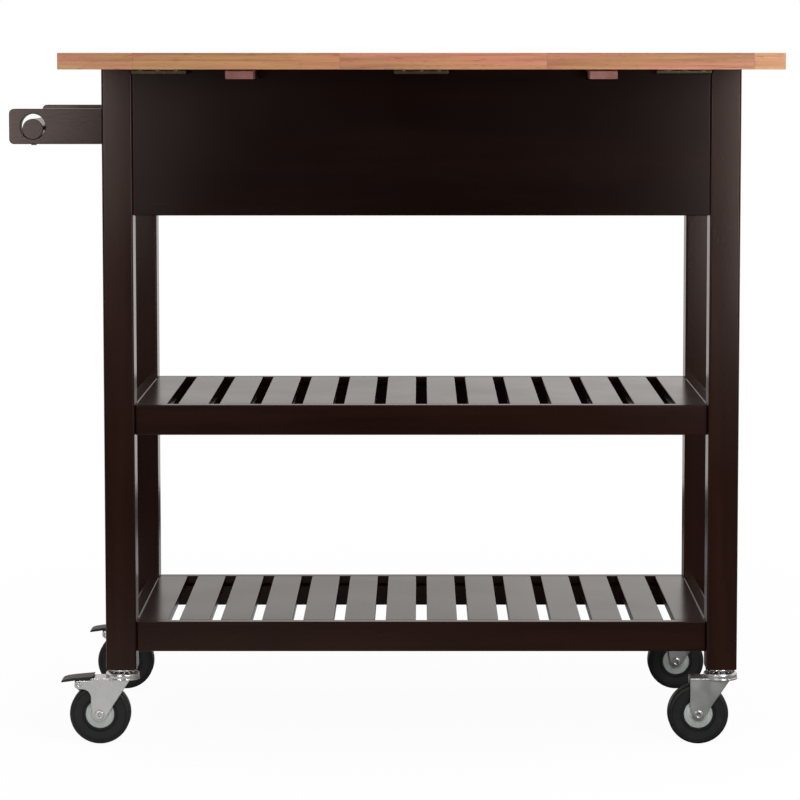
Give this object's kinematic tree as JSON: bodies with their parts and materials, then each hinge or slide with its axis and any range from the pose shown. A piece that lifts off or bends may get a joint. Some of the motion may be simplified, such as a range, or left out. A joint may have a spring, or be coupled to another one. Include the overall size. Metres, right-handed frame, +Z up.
{
  "type": "kitchen island cart",
  "caption": "Kitchen island cart with a hardwood worktop and hinged drop leaf, slatted shelves, drawers, a towel bar and swivel casters, some with foot brakes.",
  "frame": {"origin": "on the floor, under the middle of the cart's box with the leaf raised", "axes": "+X along the cart, away from the towel bar; +Y from the leaf side to the drawer side; +Z up"},
  "size_m": [0.9254, 0.669, 0.8645],
  "materials": {
    "espresso_lacquer": "semi-gloss espresso lacquer",
    "oiled_hardwood": "oiled, edge-glued staves",
    "plain_hardwood": "plain sanded wood",
    "birch": "plain sanded wood, pinkish",
    "hinge_steel": "dull zinc",
    "knob_nickel": "satin nickel",
    "zinc_steel": "zinc plated sheet steel",
    "hub_zinc": "bright zinc",
    "tyre_rubber": "matt solid rubber",
    "pedal_plastic": "moulded black plastic"
  },
  "bodies": {
    "cart": {"post_leaf_left": "espresso_lacquer", "post_leaf_right": "espresso_lacquer", "post_drawer_left": "espresso_lacquer", "post_drawer_right": "espresso_lacquer", "back_panel": "espresso_lacquer", "side_panel_left": "espresso_lacquer", "side_panel_right": "espresso_lacquer", "drawer_rails": "espresso_lacquer", "drawer_divider": "espresso_lacquer", "side_runners": "plain_hardwood", "centre_runner": "plain_hardwood", "top_board": "oiled_hardwood", "top_blocks": "plain_hardwood", "top_screws": "hinge_steel", "hinge_top_plates": "hinge_steel", "hinge_pins": "hinge_steel", "bar_guides": "plain_hardwood", "middle_shelf_frame": "espresso_lacquer", "middle_shelf_ledgers": "espresso_lacquer", "middle_shelf_slats": "espresso_lacquer", "lower_shelf_frame": "espresso_lacquer", "lower_shelf_ledgers": "espresso_lacquer", "lower_shelf_slats": "espresso_lacquer", "dowels": "birch", "towel_bracket_leaf_side": "espresso_lacquer", "towel_bracket_drawer_side": "espresso_lacquer", "towel_rod": "espresso_lacquer", "rod_screws": "hinge_steel", "caster_stems": "zinc_steel", "caster_balls": "zinc_steel"},
    "leaf": {"leaf_board": "oiled_hardwood", "hinge_leaf_plates": "hinge_steel", "leaf_screws": "hinge_steel"},
    "support_left": {"support_bar_left": "birch"},
    "support_right": {"support_bar_right": "birch"},
    "drawer_left": {"drawer_left_front": "espresso_lacquer", "drawer_left_box": "plain_hardwood", "drawer_left_knob": "knob_nickel"},
    "drawer_right": {"drawer_right_front": "espresso_lacquer", "drawer_right_box": "plain_hardwood", "drawer_right_knob": "knob_nickel"},
    "caster_leaf_left": {"fork_leaf_left": "zinc_steel", "axle_leaf_left": "zinc_steel"},
    "caster_leaf_right": {"fork_leaf_right": "zinc_steel", "axle_leaf_right": "zinc_steel"},
    "caster_drawer_left": {"fork_drawer_left": "zinc_steel", "axle_drawer_left": "zinc_steel"},
    "caster_drawer_right": {"fork_drawer_right": "zinc_steel", "axle_drawer_right": "zinc_steel"},
    "wheel_leaf_left": {"tyre_leaf_left": "tyre_rubber", "hub_leaf_left": "hub_zinc"},
    "wheel_leaf_right": {"tyre_leaf_right": "tyre_rubber", "hub_leaf_right": "hub_zinc"},
    "wheel_drawer_left": {"tyre_drawer_left": "tyre_rubber", "hub_drawer_left": "hub_zinc"},
    "wheel_drawer_right": {"tyre_drawer_right": "tyre_rubber", "hub_drawer_right": "hub_zinc"},
    "brake_leaf_left": {"brake_pedal_leaf_left": "pedal_plastic"},
    "brake_drawer_left": {"brake_pedal_drawer_left": "pedal_plastic"}
  },
  "joints": [
    {"name": "leaf_hinge", "type": "hinge", "parent": "cart", "child": "leaf", "pos_m": [0.04675, -0.084, 0.8419], "axis": [1, 0, 0], "range_deg": [0, 90]},
    {"name": "support_left_slide", "type": "slide", "parent": "cart", "child": "support_left", "axis": [0, 1, 0], "range_m": [0, 0.09]},
    {"name": "support_right_slide", "type": "slide", "parent": "cart", "child": "support_right", "axis": [0, 1, 0], "range_m": [0, 0.09]},
    {"name": "drawer_left_slide", "type": "slide", "parent": "cart", "child": "drawer_left", "axis": [0, 1, 0], "range_m": [0, 0.25]},
    {"name": "drawer_right_slide", "type": "slide", "parent": "cart", "child": "drawer_right", "axis": [0, 1, 0], "range_m": [0, 0.25]},
    {"name": "caster_leaf_left_swivel", "type": "hinge", "parent": "cart", "child": "caster_leaf_left", "pos_m": [-0.32875, -0.0445, 0.093], "axis": [0, 0, 1], "continuous": true},
    {"name": "wheel_leaf_left_spin", "type": "hinge", "parent": "caster_leaf_left", "child": "wheel_leaf_left", "pos_m": [-0.35675, -0.0445, 0.038], "axis": [0, 1, 0], "continuous": true},
    {"name": "brake_leaf_left_pedal", "type": "hinge", "parent": "caster_leaf_left", "child": "brake_leaf_left", "pos_m": [-0.38275, -0.0445, 0.0758], "axis": [0, -1, 0], "range_deg": [0, 22]},
    {"name": "caster_leaf_right_swivel", "type": "hinge", "parent": "cart", "child": "caster_leaf_right", "pos_m": [0.42225, -0.0445, 0.093], "axis": [0, 0, 1], "continuous": true},
    {"name": "wheel_leaf_right_spin", "type": "hinge", "parent": "caster_leaf_right", "child": "wheel_leaf_right", "pos_m": [0.39425, -0.0445, 0.038], "axis": [0, 1, 0], "continuous": true},
    {"name": "caster_drawer_left_swivel", "type": "hinge", "parent": "cart", "child": "caster_drawer_left", "pos_m": [-0.32875, 0.2915, 0.093], "axis": [0, 0, 1], "continuous": true},
    {"name": "wheel_drawer_left_spin", "type": "hinge", "parent": "caster_drawer_left", "child": "wheel_drawer_left", "pos_m": [-0.35675, 0.2915, 0.038], "axis": [0, 1, 0], "continuous": true},
    {"name": "brake_drawer_left_pedal", "type": "hinge", "parent": "caster_drawer_left", "child": "brake_drawer_left", "pos_m": [-0.38275, 0.2915, 0.0758], "axis": [0, -1, 0], "range_deg": [0, 22]},
    {"name": "caster_drawer_right_swivel", "type": "hinge", "parent": "cart", "child": "caster_drawer_right", "pos_m": [0.42225, 0.2915, 0.093], "axis": [0, 0, 1], "continuous": true},
    {"name": "wheel_drawer_right_spin", "type": "hinge", "parent": "caster_drawer_right", "child": "wheel_drawer_right", "pos_m": [0.39425, 0.2915, 0.038], "axis": [0, 1, 0], "continuous": true}
  ],
  "couplings": [
    {"joint": "support_left_slide", "follows": "leaf_hinge", "m_per_rad": 0.0572},
    {"joint": "support_right_slide", "follows": "leaf_hinge", "m_per_rad": 0.0572}
  ]
}
